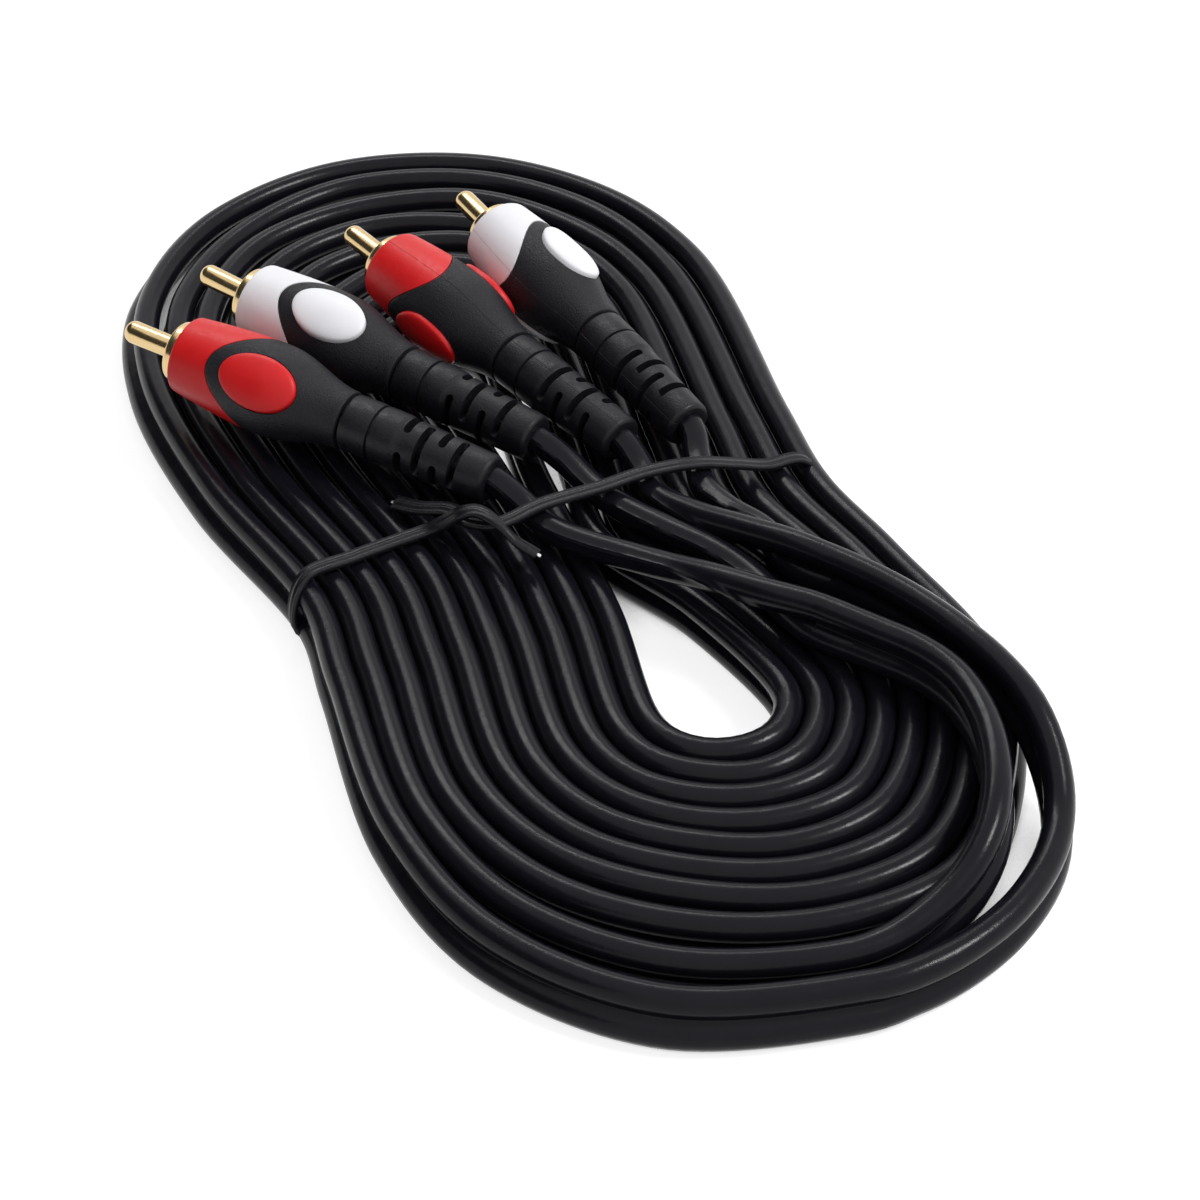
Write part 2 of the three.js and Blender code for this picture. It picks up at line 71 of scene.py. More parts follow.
# Degrees that the outermost strand leans at each station of the bundle
OUTER_LEAN = (5, 8, 10, 14, 18, 20, 22, 24, 22, 15, 5, 6, 12, 18, 20, 10, 5, 14, 12, 5)
SECOND_LEAN = 0.55  # share of it that the next strand takes
COMMON_LEAN = 6  # degrees that every strand leans
LOOSE_LEAN = 5  # degrees to either side that a strand with free room leans
TOUCHING = 0.1  # free room beside a strand below which it lies still
LOOSE_ROOM = 1.5  # free room beside a strand at which it leans fully
DRIFT = 0.3  # share of its free room that a strand drifts to either side

# Lead ends: x, y, the lead's middle above the bundle's top, and its lean outwards in degrees
LEAD_END_A = (
    (8.4, -87.8, -3.4, 7),
    (12.5, -87, -2.5, 8),
    (18, -85.1, -0.7, 10),
    (22.5, -82, 1.4, 10),
    (26.1, -77.4, 2.9, 9),
    (29, -71, 3.7, 5),
    (30.7, -64.2, 3.8, 1),
    (30.8, -57.6, 3.8, -3),
    (29, -52, 3.8, -5),
    (25.4, -46.6, 3.8, -8),
    (20.9, -40.2, 3.8, -10),
)
LEAD_END_B = (
    (6.9, -93.3, -3.8, 5),
    (14.1, -92.1, -3.8, 4),
    (23.1, -88.4, -3.8, 3),
    (31.2, -82.1, -3.7, 3),
    (35.5, -76.1, -3, 2),
    (37.5, -69.9, -0.5, 0),
    (37.7, -63.6, 2.3, 0),
    (36.8, -57, 3.4, 0),
    (34.8, -49.4, 3.8, 0),
    (32.1, -41.7, 3.8, 0),
    (28.3, -34.4, 3.8, 0),
    (23.4, -27.1, 3.8, 0),
)
# Single cores from the lead's ends to the plugs: x, y and height above the bundle's top
TAIL_STEP = 0.8
SPLIT_OVERLAP = 4  # rings of the twin lead that a core starts before the split
UNDER_SKIN = 0.97  # share of its radius that a core keeps there
TAIL_ROUTES = (
    (
        (16.3, -34.4, 5.3),
        (12.1, -28.6, 4.5),
        (8.4, -23.1, 3.2),
        (4.7, -18, 2.4),
        (1, -13.8, 2.2),
        (-2.4, -9, 2.2),
        (-4.2, -3.4, 2.7),
    ),
    (
        (19.4, -36.6, 1.9),
        (18.6, -31.6, 1.9),
        (17.5, -26.4, 2),
        (15.2, -20.9, 2.2),
        (11.4, -14.6, 2.2),
        (7.8, -8, 2.2),
        (5.7, -2.2, 2.3),
        (4.2, 3.2, 3.1),
    ),
    ((19.6, -21, 4.6), (15.8, -14.4, 3.2), (12.9, -7.6, 2.4), (13, -1.8, 2.9)),
    ((23, -19.4, 2.2), (20.5, -13.4, 2.2), (19.6, -7.8, 2.2), (21, -2.2, 2.8)),
)

# Tie, from its high free end round the waist to its low free end: x, y, height above the bundle's top
TIE_WIDTH = 2.2
TIE_THICKNESS = 0.9
TIE_WIRE_RADIUS = 0.28
TIE_WIRE_SHOW = 0.5  # wire past each end of the ribbon
TIE_STEP = 0.7
TIE_UNDER = TIE_THICKNESS / 2 + 0.3 - LEAD_HEIGHT
TIE_ROUTE = (
    (-19.3, 5.1, 1.4),
    (-17.1, 1.9, 2.2),
    (-13.9, -1.2, 3.2),
    (-12.3, -5, 3.6),
    (-9.4, -7.5, 4.2),
    (-3.3, -6.9, 5.1),
    (5.3, -6.4, 5.2),
    (12, -5.8, 5.4),
    (19, -6.2, 5.2),
    (25, -5.6, 3),
    (30, -5, 1),
    (35.2, -4.8, 0.5),
    (37.8, -5.6, -2.7),
    (37.8, -6.4, -5.5),
    (35.4, -7.4, TIE_UNDER),
    (31.4, -7.7, TIE_UNDER),
    (0, -8, TIE_UNDER),
    (-30.6, -7.7, TIE_UNDER),
    (-34.6, -7.4, TIE_UNDER),
    (-37, -6.6, -5.5),
    (-37, -5.8, -2.7),
    (-34.6, -4.1, 0.5),
    (-28, -3, 0.8),
    (-20.7, -1.9, 0.9),
    (-17.2, -2.1, 1.5),
    (-15.1, -3.4, 3.2),
    (-13.5, -4.7, 5),
    (-11.7, -5.7, 5.6),
    (-9.9, -8.6, 5.2),
    (-8.3, -11, 3.6),
    (-6.2, -13.3, 2.4),
)

# Phono plug: places are measured behind the pin's tip
PIN_RADIUS = 1.6
PIN_SHOW = 8.6
SHELL_RADIUS = 4.3
SHELL_WALL = 0.6
SHELL_SHOW = 1.6
SHELL_SEAT = 9.1
SHELL_SLOT_WIDTH = 1.2
SHELL_SLOT_LENGTH = 5.4
SLEEVE_FRONT_RADIUS = 5.4
WIDEST_RADIUS = 6.5
SLEEVE_FRONT = PIN_SHOW + SHELL_SHOW
WIDEST = SLEEVE_FRONT + 14.1
PLUG_SEAT = 22  # where a plug rests on the bundle: the CAD plug's widest line
NECK_RADIUS = 4.1
GRIP_REAR = 36.2
GRIP_FRONT = WIDEST - 5.2
GRIP_WAVE = 2.9
GRIP_THICKNESS = 1.3
PAD_LENGTH = 11.4
PAD_WIDTH = 7.5
PAD_RISE = 0.5
JOINT_GAP = 0.1  # fine line between two mouldings
COLLAR_FRONT = GRIP_REAR + 0.3
COLLAR_RADIUS = 3.95
COLLAR_LENGTH = 8.25
GROOVE_PLACE = COLLAR_FRONT + 4.5
BOOT_FRONT_RADIUS = 3.8
BOOT_REAR_RADIUS = 3.35
SLOT_WIDTH = 1.15
SLOT_SWEEP = 136
FIRST_SLOT = COLLAR_FRONT + COLLAR_LENGTH + SLOT_WIDTH
SLOT_PITCH = 2.65
SLOT_STATIONS = 4
PLUG_LENGTH = FIRST_SLOT + (SLOT_STATIONS - 1) * SLOT_PITCH + 4.65

# Each plug: x and y of its rear end, heading from +Y towards -X, how far its pads turn to the left
# from the top, extra height, and its colour
PLUG_STEP = 2 * (WIDEST_RADIUS + PAD_RISE) + 0.3
FAN_MIDDLE = 7.2
PLUG_REAR_HEIGHT = LEAD_HEIGHT + 4.3
PLUGS = (
    (FAN_MIDDLE - 0.986 * PLUG_STEP, 1.35, 39.5, 47, 0.1, "red"),
    (FAN_MIDDLE - 0.382 * PLUG_STEP, 7.65, 33.4, 20, 0.1, "white"),
    (FAN_MIDDLE + 0.347 * PLUG_STEP, 3.15, 20.5, 104, 0.6, "red"),
    (FAN_MIDDLE + 1.028 * PLUG_STEP, 2.95, 12, -31, 1, "white"),
)


# Camera, worked out from the photograph

camera = bpy.data.objects.new("camera", bpy.data.cameras.new("camera"))
bpy.context.scene.collection.objects.link(camera)
camera.data.lens = 83.7
camera.data.sensor_width = 36
camera.location = Vector((-102.8, -276.5, 233.4)) * MM
aim = Vector((2.37, -13.55, 0)) * MM - camera.location
camera.rotation_euler = aim.to_track_quat("-Z", "Y").to_euler()
bpy.context.scene.camera = camera


# Materials

def material(name, colour, roughness, metallic=0.0, specular=0.5):
    """A principled material with one colour, which the functions below give its detail."""
    made = bpy.data.materials.new(name)
    made.use_nodes = True
    shader = made.node_tree.nodes["Principled BSDF"]
    shader.inputs["Base Color"].default_value = (*colour, 1)
    shader.inputs["Roughness"].default_value = roughness
    shader.inputs["Metallic"].default_value = metallic
    shader.inputs["Specular IOR Level"].default_value = specular
    return made


def node(made, kind, inputs=(), **settings):
    """A new node; inputs gives a value or an output socket for each named input."""
    new = made.node_tree.nodes.new(kind)
    for name, value in settings.items():
        setattr(new, name, value)
    for name, value in dict(inputs).items():
        if isinstance(value, bpy.types.NodeSocket):
            made.node_tree.links.new(value, new.inputs[name])
        else:
            new.inputs[name].default_value = value
    return new


def noise(made, scale, detail=2.0, stretch=(1, 1, 1)):
    """Noise in the piece's own coordinates, with features of about 1/scale metres."""
    place = node(made, "ShaderNodeTexCoord").outputs["Object"]
    place = node(made, "ShaderNodeMapping", {"Vector": place, "Scale": stretch}).outputs[0]
    return node(made, "ShaderNodeTexNoise", {"Vector": place, "Scale": scale, "Detail": detail}).outputs[0]


def between(made, value, low, high, to_low, to_high):
    """The value, which runs from low to high, stretched to run from to_low to to_high."""
    inputs = {"Value": value, "From Min": low, "From Max": high, "To Min": to_low, "To Max": to_high}
    return node(made, "ShaderNodeMapRange", inputs).outputs[0]


def shade(made, value, dark, light):
    """Lets the base colour run from dark to light with value, which is between 0 and 1."""
    ramp = node(made, "ShaderNodeValToRGB", {"Fac": value})
    ramp.color_ramp.elements[0].color = (*dark, 1)
    ramp.color_ramp.elements[1].color = (*light, 1)
    shader = made.node_tree.nodes["Principled BSDF"]
    made.node_tree.links.new(ramp.outputs[0], shader.inputs["Base Color"])


def roughen(made, value, low, high):
    """Lets the roughness run from low to high with value, over its middle range."""
    shader = made.node_tree.nodes["Principled BSDF"]
    made.node_tree.links.new(between(made, value, 0.3, 0.7, low, high), shader.inputs["Roughness"])


def bump(made, height, distance, strength=1.0):
    """Adds relief of the given depth in millimetres on top of what the material has already."""
    shader = made.node_tree.nodes["Principled BSDF"]
    inputs = {"Height": height, "Distance": distance * MM, "Strength": strength}
    if shader.inputs["Normal"].links:
        inputs["Normal"] = shader.inputs["Normal"].links[0].from_socket
    made.node_tree.links.new(node(made, "ShaderNodeBump", inputs).outputs[0], shader.inputs["Normal"])


def parting_line(made, width=0.05):
    """The fine line that the two halves of the mould leave along both sides of a plug."""
    place = node(made, "ShaderNodeTexCoord").outputs["Object"]
    across = node(made, "ShaderNodeSeparateXYZ", {"Vector": place}).outputs["Y"]
    away = node(made, "ShaderNodeMath", {0: across}, operation="ABSOLUTE").outputs[0]
    line = between(made, away, 0.4 * width * MM, width * MM, 0, 1)
    bump(made, line, 0.12)


def jacket_material():
    made = material("jacket", (0.006, 0.006, 0.009), 0.22, specular=0.16)
    patches = noise(made, 260, 3)
    shade(made, patches, (0.004, 0.004, 0.007), (0.008, 0.008, 0.012))
    roughen(made, noise(made, 700, 4), 0.18, 0.27)
    bump(made, noise(made, 1100, 3), 0.02)
    bump(made, noise(made, 5200, 2), 0.012)
    return made


def tie_material():
    made = material("tie", (0.012, 0.012, 0.014), 0.34, specular=0.25)
    shade(made, noise(made, 500, 3), (0.006, 0.006, 0.008), (0.013, 0.013, 0.016))
    roughen(made, noise(made, 900, 3), 0.22, 0.34)
    bump(made, noise(made, 2600, 3), 0.02)
    return made


def grip_material():
    made = material("grip", (0.008, 0.008, 0.011), 0.5, specular=0.25)
    grain = noise(made, 4200, 4)
    shade(made, grain, (0.003, 0.003, 0.005), (0.016, 0.016, 0.021))
    roughen(made, noise(made, 3000, 2), 0.36, 0.6)
    bump(made, grain, 0.09)
    parting_line(made)
    return made


def boot_material():
    made = material("boot", (0.008, 0.008, 0.011), 0.45, specular=0.25)
    grain = noise(made, 3600, 4)
    shade(made, grain, (0.004, 0.004, 0.006), (0.013, 0.013, 0.017))
    roughen(made, noise(made, 900, 3), 0.3, 0.5)
    bump(made, grain, 0.05)
    parting_line(made)
    return made


def colour_material(name, dark, light, roughness):
    made = material(name, light, roughness, specular=0.35)
    shade(made, noise(made, 800, 4), dark, light)
    roughen(made, noise(made, 1500, 3), roughness - 0.06, roughness + 0.08)
    bump(made, noise(made, 2400, 3), 0.012)
    parting_line(made)
    return made


def gold_material():
    made = material("gold", (0.72, 0.52, 0.25), 0.16, metallic=1.0)
    shade(made, noise(made, 420, 3), (0.70, 0.50, 0.24), (0.78, 0.59, 0.32))
    turning = noise(made, 500, 2, stretch=(0.4, 0.4, 14))
    roughen(made, turning, 0.12, 0.24)
    bump(made, turning, 0.004)
    return made


def steel_material():
    made = material("steel", (0.82, 0.82, 0.84), 0.22, metallic=1.0)
    roughen(made, noise(made, 3000, 3), 0.16, 0.34)
    return made


def insulator_material():
    made = material("insulator", (0.86, 0.84, 0.77), 0.45)
    shade(made, noise(made, 900, 3), (0.82, 0.80, 0.72), (0.88, 0.86, 0.80))
    bump(made, noise(made, 2500, 3), 0.01)
    return made


def wire_material():
    made = material("wire_coat", (0.80, 0.78, 0.72), 0.45)
    shade(made, noise(made, 1200, 3), (0.74, 0.72, 0.66), (0.82, 0.80, 0.75))
    bump(made, noise(made, 3500, 3), 0.01)
    return made


JACKET = jacket_material()
TIE = tie_material()
GRIP = grip_material()
BOOT = boot_material()
GOLD = gold_material()
STEEL = steel_material()
COLOURS = {
    "red": colour_material("red", (0.60, 0.007, 0.009), (0.70, 0.011, 0.013), 0.40),
    "white": colour_material("white", (0.80, 0.80, 0.84), (0.84, 0.84, 0.87), 0.40),
}


# Mesh helpers

def new_piece(name, vertices, faces, finish, slot, place=None, crease=35):
    """A piece of the body from vertices in millimetres, smooth up to the crease angle."""
    mesh = bpy.data.meshes.new(name)
    mesh.from_pydata((np.asarray(vertices, float) * MM).tolist(), [], faces)
    return piece_of(name, mesh, finish, place, crease)


def piece_of(name, mesh, finish, place=None, crease=35):
    mesh.polygons.foreach_set("use_smooth", [True] * len(mesh.polygons))
    mesh.set_sharp_from_angle(angle=math.radians(crease))
    mesh.materials.clear()
    mesh.materials.append(finish)
    piece = bpy.data.objects.new(name, mesh)
    bpy.context.scene.collection.objects.link(piece)
    if place is not None:
        piece.matrix_world = place
    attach(piece, "root")
    return piece


def cut(vertices, faces, cutter_vertices, cutter_faces):
    """The mesh that is left of one closed form when another is cut out of it."""
    forms = []
    for points, sides in ((vertices, faces), (cutter_vertices, cutter_faces)):
        mesh = bpy.data.meshes.new("form")
        mesh.from_pydata((np.asarray(points, float) * MM).tolist(), [], sides)
        form = bpy.data.objects.new("form", mesh)
        bpy.context.scene.collection.objects.link(form)
        forms.append(form)
    modifier = forms[0].modifiers.new("cut", "BOOLEAN")
    modifier.object = forms[1]
    modifier.operation = "DIFFERENCE"
    modifier.solver = "EXACT"
    evaluated = forms[0].evaluated_get(bpy.context.evaluated_depsgraph_get())
    result = bpy.data.meshes.new_from_object(evaluated)
    for form in forms:
        spare = form.data
        bpy.data.objects.remove(form)
        bpy.data.meshes.remove(spare)
    return result


def smooth_line(points, step):
    """A centripetal Catmull-Rom line through the points, in even steps.

    Returns the line and, for each place on it, how far along the list of points it lies.
    """
    points = np.asarray(points, float)
    ends = np.vstack((2 * points[0] - points[1], points, 2 * points[-1] - points[-2]))
    share = np.linspace(0, 1, 24, endpoint=False)
    line, along = [], []
    for i in range(len(points) - 1):
        p = ends[i:i + 4]
        knot = np.concatenate(([0], np.cumsum(np.linalg.norm(np.diff(p, axis=0), axis=1) ** 0.5)))
        t = (knot[1] + share * (knot[2] - knot[1]))[:, None]

        def blend(a, b, start, end):
            return (a * (end - t) + b * (t - start)) / (end - start)

        first = [blend(p[k], p[k + 1], knot[k], knot[k + 1]) for k in range(3)]
        second = [blend(first[k], first[k + 1], knot[k], knot[k + 2]) for k in range(2)]
        line.append(blend(second[0], second[1], knot[1], knot[2]))
        along.append(i + share)
    line = np.vstack((*line, points[-1:]))
    along = np.concatenate((*along, [len(points) - 1]))
    run = np.concatenate(([0], np.cumsum(np.linalg.norm(np.diff(line, axis=0), axis=1))))
    at = np.linspace(0, run[-1], max(2, math.ceil(run[-1] / step) + 1))
    even = np.stack([np.interp(at, run, line[:, k]) for k in range(3)], 1)
    return even, np.interp(at, run, along)


def unit(vectors):
    return vectors / np.linalg.norm(vectors, axis=-1, keepdims=True)


def tangents(line):
    return unit(np.gradient(line, axis=0))


def swept(line, first_axis, second_axis, section):
    """Rings of the section along the line; a section may have its own points on each ring."""
    section = np.broadcast_to(section, (len(line), *np.shape(section)[-2:]))
    rings = (
        line[:, None]
        + section[:, :, 0:1] * first_axis[:, None]
        + section[:, :, 1:2] * second_axis[:, None]
    )
    sides = rings.shape[1]
    return rings.reshape(-1, 3), tube_faces(len(line), sides)


def tube_faces(rings, sides):
    faces = [tuple(reversed(range(sides)))]
    for ring in range(rings - 1):
        for side in range(sides):
            a, b = ring * sides + side, ring * sides + (side + 1) % sides
            faces.append((a, b, b + sides, a + sides))
    faces.append(tuple(range((rings - 1) * sides, rings * sides)))
    return faces


# Twin lead

def on_circle(centre, radius, angle):
    turn = math.radians(angle)
    return np.array((centre[0] + radius * math.cos(turn), centre[1] + radius * math.sin(turn)))


def stations():
    """Lines across the bundle, round it from the waist's right side.

    Each has its inner end, its outer end, its number of lanes and its bunching.
    """
    upper = [
        (on_circle(UPPER_HOLE, UPPER_HOLE_RADIUS, a), on_circle(UPPER_CENTRE, r, a), RIGHT_LANES, 0)
        for a, r in UPPER_RIM
    ]
    left, right = (
        [
            (on_circle(LOWER_HOLE, LOWER_HOLE_RADIUS, a), on_circle(LOWER_CENTRE, r, a), lanes, bunching)
            for a, r, bunching in lobe
        ]
        for lobe, lanes in ((LOWER_LEFT, LEFT_LANES), (LOWER_RIGHT, RIGHT_LANES))
    )
    lines = [((4.6, -8), (36.6, -8), RIGHT_LANES, 0), ((7.5, 9), (38.4, 9), RIGHT_LANES, 0)]
    lines += upper
    lines += [((-9.9, 22), (-40.4, 22), RIGHT_LANES, 0), ((0.4, -8), (-34.8, -7), LEFT_LANES, 0)]
    lines += [((-0.5, -23), (-36.1, -22), LEFT_LANES, 0)]
    lines += left + right
    lines += [((11, -25), (38.7, -25), RIGHT_LANES, 0)]
    return [(np.array(i, float), np.array(o, float), lanes, bunching) for i, o, lanes, bunching in lines]


def lead_route():
    """The twin lead's middle from end A to end B, each point with its lean to the right of travel."""
    across = stations()
    chance = random.Random(5)
    left = list(range(10, 16))
    right = [16, 17, 18, 19, 0, 1, *range(2, 10)]

    def strand(order, lane, turn):
        points = []
        for k in order:
            inner, outer, lanes, bunching = across[k]
            share = (lane - 1) / (lanes - 1)
            share += bunching * (BUNCHED[lane - 1] - share)
            room = np.linalg.norm(outer - inner) / (lanes - 1) - 2 * CORE_RADIUS
            free = max(0, room - TOUCHING)
            slack = min(1, free / LOOSE_ROOM)
            drift = chance.uniform(-DRIFT, DRIFT) * free if lane < lanes else 0
            x, y = inner + (outer - inner) * share + unit(outer - inner) * drift
            lean = {lanes: 1, lanes - 1: SECOND_LEAN}.get(lane, 0) * OUTER_LEAN[k]
            lean += chance.uniform(-LOOSE_LEAN, LOOSE_LEAN) * slack + COMMON_LEAN
            height = CORE_RADIUS * (1 + math.cos(math.radians(lean)))
            points.append((x, y, height, turn * lean))
        return points

    def end(points, turn):
        return [(x, y, LEAD_HEIGHT + height, turn * lean) for x, y, height, lean in points]

    route = end(reversed(LEAD_END_A), -1)
    for lane in (9, 7, 5, 3, 1):
        route += strand(reversed(left), lane, -1)
        if lane > 1:
            route += strand(reversed(right), lane - 2, -1)
    bulb = [(1.6, 9), (3.8, 24)]
    bulb += [on_circle(UPPER_HOLE, BULB_RADIUS, a) for a in (0, 60, 120, 180)] + [(-3.6, 22)]
    route += [(x, y, 2 * CORE_RADIUS, 0) for x, y in bulb]
    for lane in (2, 4, 6, 8, 10):
        route += strand(left, lane, 1)
        if lane < LEFT_LANES:
            route += strand(right, lane, 1)
    return route + end(LEAD_END_B, 1)


def twin_section():
    """Two round cores, one above the other along the second axis, with a web between them."""
    waist = math.degrees(math.asin(WEB_THICKNESS / 2 / CORE_RADIUS))
    points = []
    for side, start in ((1, waist - 90), (-1, waist + 90)):
        for angle in np.linspace(start, start + 360 - 2 * waist, 13):
            x, y = on_circle((0, side * CORE_RADIUS), CORE_RADIUS, angle)
            points.append((x, y))
    return np.array(points)


def lead_frames(route, step):
    """The line, its section's long axis and its section's short axis along a route with leans."""
    route = np.array(route, float)
    line, along = smooth_line(route[:, :3], step)
    lean = np.radians(np.interp(along, np.arange(len(route)), route[:, 3]))[:, None]
    forward = tangents(line)
    outward = unit(np.stack((forward[:, 1], -forward[:, 0], 0 * forward[:, 0]), 1))
    upward = np.cross(outward, forward)
    long_axis = upward * np.cos(lean) - outward * np.sin(lean)
    return line, long_axis, np.cross(long_axis, forward)


lead_line, lead_long, lead_short = lead_frames(lead_route(), LEAD_STEP)
lead_form = swept(lead_line, lead_short, lead_long, twin_section())
lead = new_piece("twin_lead", *lead_form, JACKET, "cable_jacket", crease=60)
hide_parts("coil", "lead_end_a", "lead_end_b")


# Tails

def plug_matrix(x, y, heading, roll, lift):
    """Places a plug's frame, in metres: it rests on the bundle at PLUG_SEAT."""
    seat = WIDEST_RADIUS + PAD_RISE + 0.3 + lift + LEAD_HEIGHT
    pitch = math.asin((seat - PLUG_REAR_HEIGHT) / (PLUG_LENGTH - PLUG_SEAT))
    return (
        Matrix.Translation(Vector((x, y, PLUG_REAR_HEIGHT)) * MM)
        @ Matrix.Rotation(math.radians(heading), 4, "Z")
        @ Matrix.Rotation(pitch - math.pi / 2, 4, "X")
        @ Matrix.Rotation(-math.radians(roll), 4, "Z")
    )


def tail_section(chance, free):
    """A round core with the torn edge of the web along it, at the first axis.

    free is 0 where the core still lies in the twin lead, just under its skin, and 1 past the split.
    """
    angles = np.concatenate(([-6, 6], np.linspace(16, 344, 24)))
    section = np.stack((np.cos(np.radians(angles)), np.sin(np.radians(angles))), 1) * CORE_RADIUS
    sections = section * (UNDER_SKIN + (1 - UNDER_SKIN) * free)[:, None, None]
    for ring, share in zip(sections, free):
        for k in (0, 1):
            ring[k] *= 1 + share * chance.uniform(0.07, 0.15)
    return sections


def core_middle(ring, side):
    """Middle of one of the twin's two cores at one of its rings."""
    return lead_line[ring] + side * CORE_RADIUS * lead_long[ring]


plug_places = [plug_matrix(*spec[:5]) for spec in PLUGS]
tail_starts = ((0, 1), (0, -1), (-1, 1), (-1, -1))
tails = []
boot_middles = (-0.3, 7, PLUG_LENGTH - COLLAR_FRONT - COLLAR_LENGTH)  # in the plug's frame
for number, route, (ring, side), place in zip(range(1, 5), TAIL_ROUTES, tail_starts, plug_places):
    overlap = SPLIT_OVERLAP if ring == 0 else -SPLIT_OVERLAP
    points = [core_middle(ring + overlap, side), core_middle(ring, side)]
    points += [(x, y, LEAD_HEIGHT + height) for x, y, height in route]
    points += [tuple(place @ Vector((0, 0, z * MM)) / MM) for z in boot_middles]
    line, along = smooth_line(points, TAIL_STEP)
    forward = tangents(line)
    towards = -side * lead_long[ring]
    toward_left = np.array((-0.75, -0.35, 0.56))
    turn = np.clip((along - 1) / 3, 0, 1)[:, None]
    seam = towards * (1 - turn) + toward_left * turn
    seam = unit(seam - forward * (seam * forward).sum(1, keepdims=True))
    section = tail_section(random.Random(number), np.clip((along - 1) / 0.3, 0, 1))
    form = swept(line, seam, np.cross(forward, seam), section)
    tail = new_piece(f"tail_{number}_core", *form, JACKET, "cable_jacket", crease=30)
    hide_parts(f"tail_{number}")
    tails.append((tail, line))


# Plugs

SIDES = 128
TURN = np.linspace(0, 2 * np.pi, SIDES, endpoint=False)


def body_radius(place):
    """Outline of the moulded body: it swells to its widest line, then draws in to the neck."""
    place = np.asarray(place, float)
    rise = np.sin(np.clip((place - SLEEVE_FRONT) / (WIDEST - SLEEVE_FRONT), 0, 1) * np.pi / 2)
    fall = 0.5 - 0.5 * np.cos(np.clip((place - WIDEST) / (GRIP_REAR - WIDEST), 0, 1) * np.pi)
    front = SLEEVE_FRONT_RADIUS + (WIDEST_RADIUS - SLEEVE_FRONT_RADIUS) * rise
    return np.where(place < WIDEST, front, WIDEST_RADIUS + (NECK_RADIUS - WIDEST_RADIUS) * fall)


def turned(profile, sides=SIDES):
    """A closed ring from a loop of (radius, place), from the rear round the outside to the front and back.

    Each radius and place is one number, or one for each side.
    """
    angle = np.linspace(0, 2 * np.pi, sides, endpoint=False)
    rings = []
    for radius, place in profile:
        radius, place = np.broadcast_to(radius, sides), np.broadcast_to(place, sides)
        rings.append(np.stack((radius * np.cos(angle), radius * np.sin(angle), PLUG_LENGTH - place), 1))
    faces = []
    for ring in range(len(rings)):
        here, ahead = ring * sides, (ring + 1) % len(rings) * sides
        for side in range(sides):
            other = (side + 1) % sides
            faces.append((here + side, here + other, ahead + other, ahead + side))
    return np.vstack(rings), faces


def solid_turned(profile, sides=48):
    """A solid of revolution: like turned, with both ends of the profile closed on the axis."""
    vertices, faces = turned(profile, sides)
    last = (len(profile) - 1) * sides
    faces = [face for face in faces if face[2] >= sides or face[0] < last]
    faces = faces[: (len(profile) - 1) * sides]
    faces.append(tuple(reversed(range(sides))))
    faces.append(tuple(range(last, last + sides)))
    return vertices, faces


def grip_edge():
    """Place of the grip's front edge at each side: forward at the pads and back between them."""
    return GRIP_FRONT + GRIP_WAVE * np.cos(2 * TURN)


def sleeve_form():
    """The coloured sleeve in front of the grip, bored for the ground shell."""
    edge = grip_edge() - JOINT_GAP / 2
    bore = SHELL_RADIUS + 0.15
    profile = [(bore, edge), (body_radius(edge) - 0.9, edge), (body_radius(edge) - 0.12, edge)]
    profile.append((body_radius(edge) - 0.03, edge - 0.05))
    lip = 0.45  # rounding of the front edge
    start = SLEEVE_FRONT + lip
    for share in np.linspace(0.992, 0, 20):
        place = start + (edge - start) * share
        profile.append((body_radius(place), place))
    for angle in (22, 45, 68, 90):
        turn = math.radians(angle)
        radius = float(body_radius(start)) - lip * (1 - math.cos(turn))
        profile.append((radius, start - lip * math.sin(turn)))
    profile.append((bore, SLEEVE_FRONT))
    return turned(profile)


def grip_form():
    """The black overmould behind the sleeve, before its windows are cut."""
    edge = grip_edge() + JOINT_GAP / 2
    profile = [(2.4, GRIP_REAR), (NECK_RADIUS - 0.35, GRIP_REAR), (NECK_RADIUS - 0.1, GRIP_REAR - 0.1)]
    rear = GRIP_REAR - 0.35
    for share in np.linspace(0, 0.995, 34):
        place = rear + (edge - rear) * share
        profile.append((body_radius(place), place))
    profile.append((body_radius(edge) - 0.03, edge + 0.03))
    profile.append((body_radius(edge) - 0.12, edge))
    profile.append((body_radius(edge) - GRIP_THICKNESS, edge))
    for share in np.linspace(0.1, 1, 8):
        place = edge + (GRIP_REAR - 0.6 - edge) * share
        profile.append((np.maximum(body_radius(place) - GRIP_THICKNESS, 2.4), place))
    return turned(profile)


def oval_post(gap):
    """An oval post through the body along y, for the grip's two windows."""
    angle = np.linspace(0, 2 * np.pi, 96, endpoint=False)
    x = (PAD_WIDTH / 2 + gap) * np.cos(angle)
    z = PLUG_LENGTH - WIDEST + (PAD_LENGTH / 2 + gap) * np.sin(angle)
    reach = 2 * WIDEST_RADIUS
    rings = [np.stack((x, np.full_like(x, y), z), 1) for y in (reach, -reach)]
    return np.vstack(rings), tube_faces(2, len(angle))


